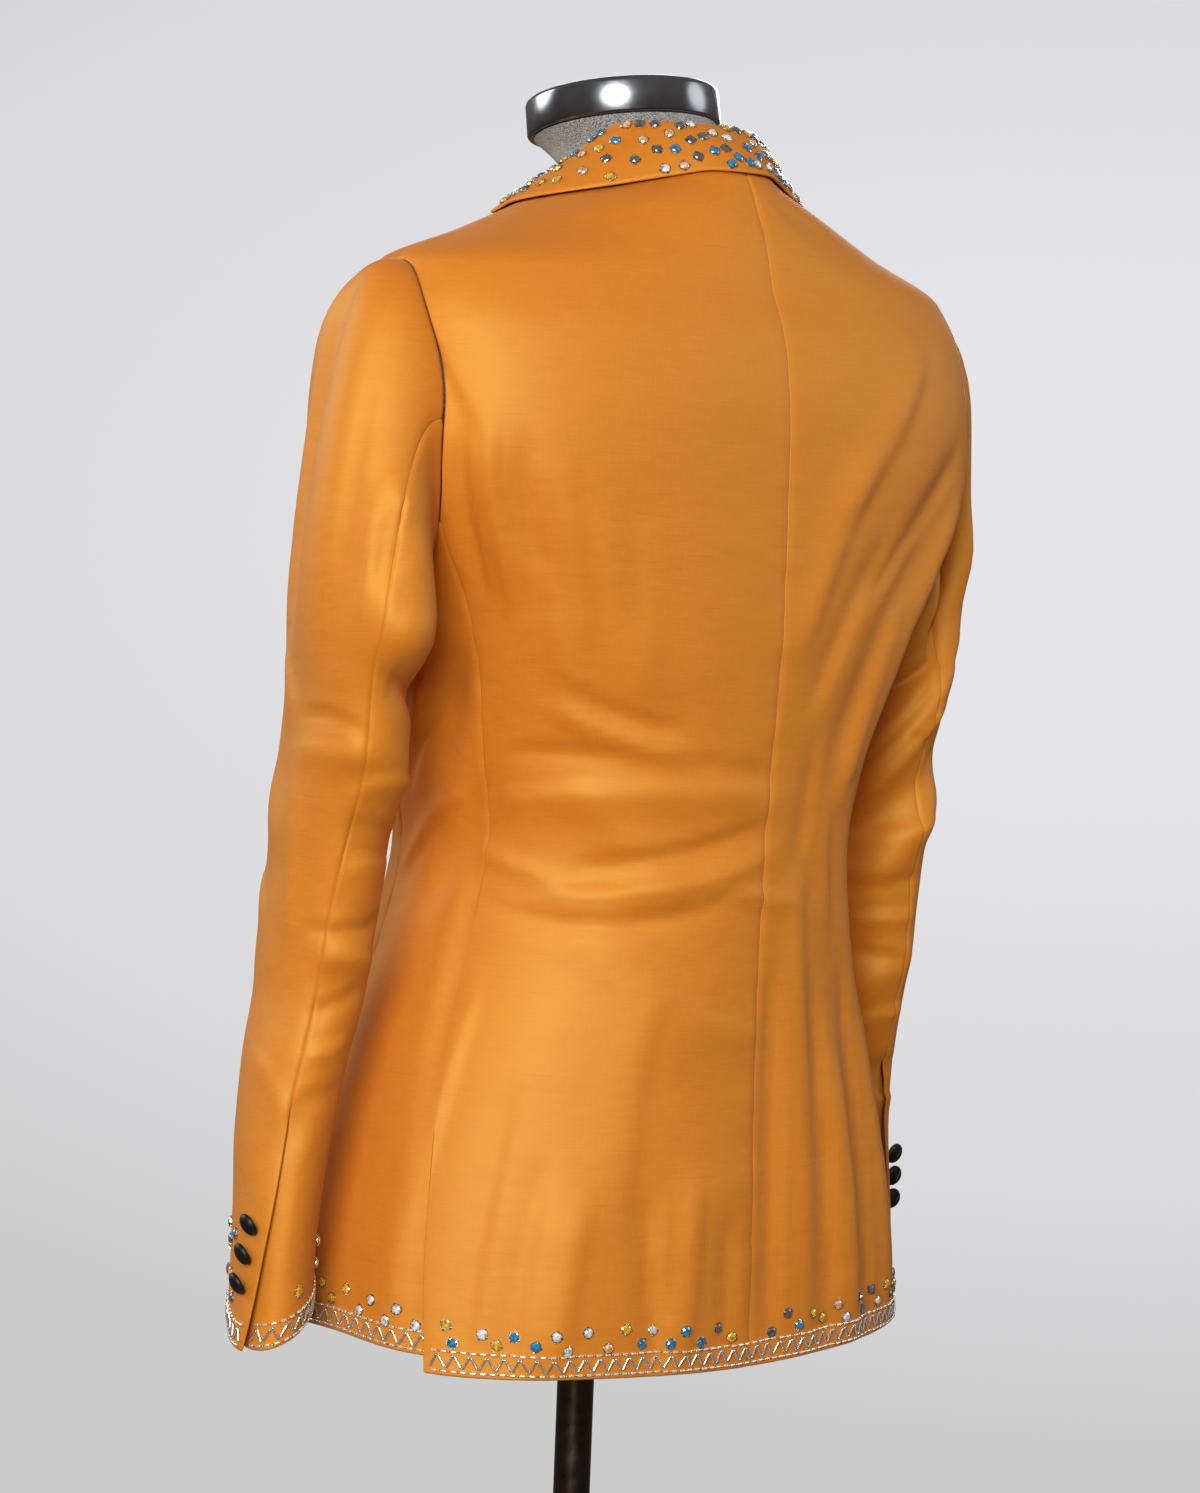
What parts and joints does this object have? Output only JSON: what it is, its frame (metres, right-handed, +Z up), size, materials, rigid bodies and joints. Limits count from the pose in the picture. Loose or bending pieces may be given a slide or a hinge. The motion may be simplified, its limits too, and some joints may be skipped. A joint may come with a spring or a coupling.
{
  "type": "blazer on dress form",
  "caption": "Fitted shawl-collar blazer with side vents and beaded hems, standing on a limbless dress form with a pole and round base.",
  "frame": {"origin": "centre of the stand's flat underside, on the floor", "axes": "+Z up along the pole; the garment's front faces -Y, its back +Y, and its own left sleeve lies at +X"},
  "size_m": [0.5594, 0.38, 1.5696],
  "materials": {
    "satin": "two-tone shot satin, orange and rose brown",
    "button_satin": "black satin over a domed button",
    "knit": "grey speckled jersey over a hard form",
    "dark_chrome": "gunmetal plated",
    "bronze": "dark antique bronze"
  },
  "bodies": {
    "root": {"back_left": "satin", "back_right": "satin", "side_left": "satin", "side_right": "satin", "front_left": "satin", "front_right": "satin", "topsleeve_left": "satin", "undersleeve_left": "satin", "topsleeve_right": "satin", "undersleeve_right": "satin", "cuff_button_left_1": "button_satin", "cuff_button_left_2": "button_satin", "cuff_button_left_3": "button_satin", "cuff_button_right_1": "button_satin", "cuff_button_right_2": "button_satin", "cuff_button_right_3": "button_satin", "collar_stand": "satin", "shawl_collar": "satin", "front_button": "button_satin", "form_body": "knit", "neck_cap": "dark_chrome", "pole": "bronze", "stand_base": "bronze"}
  },
  "joints": []
}
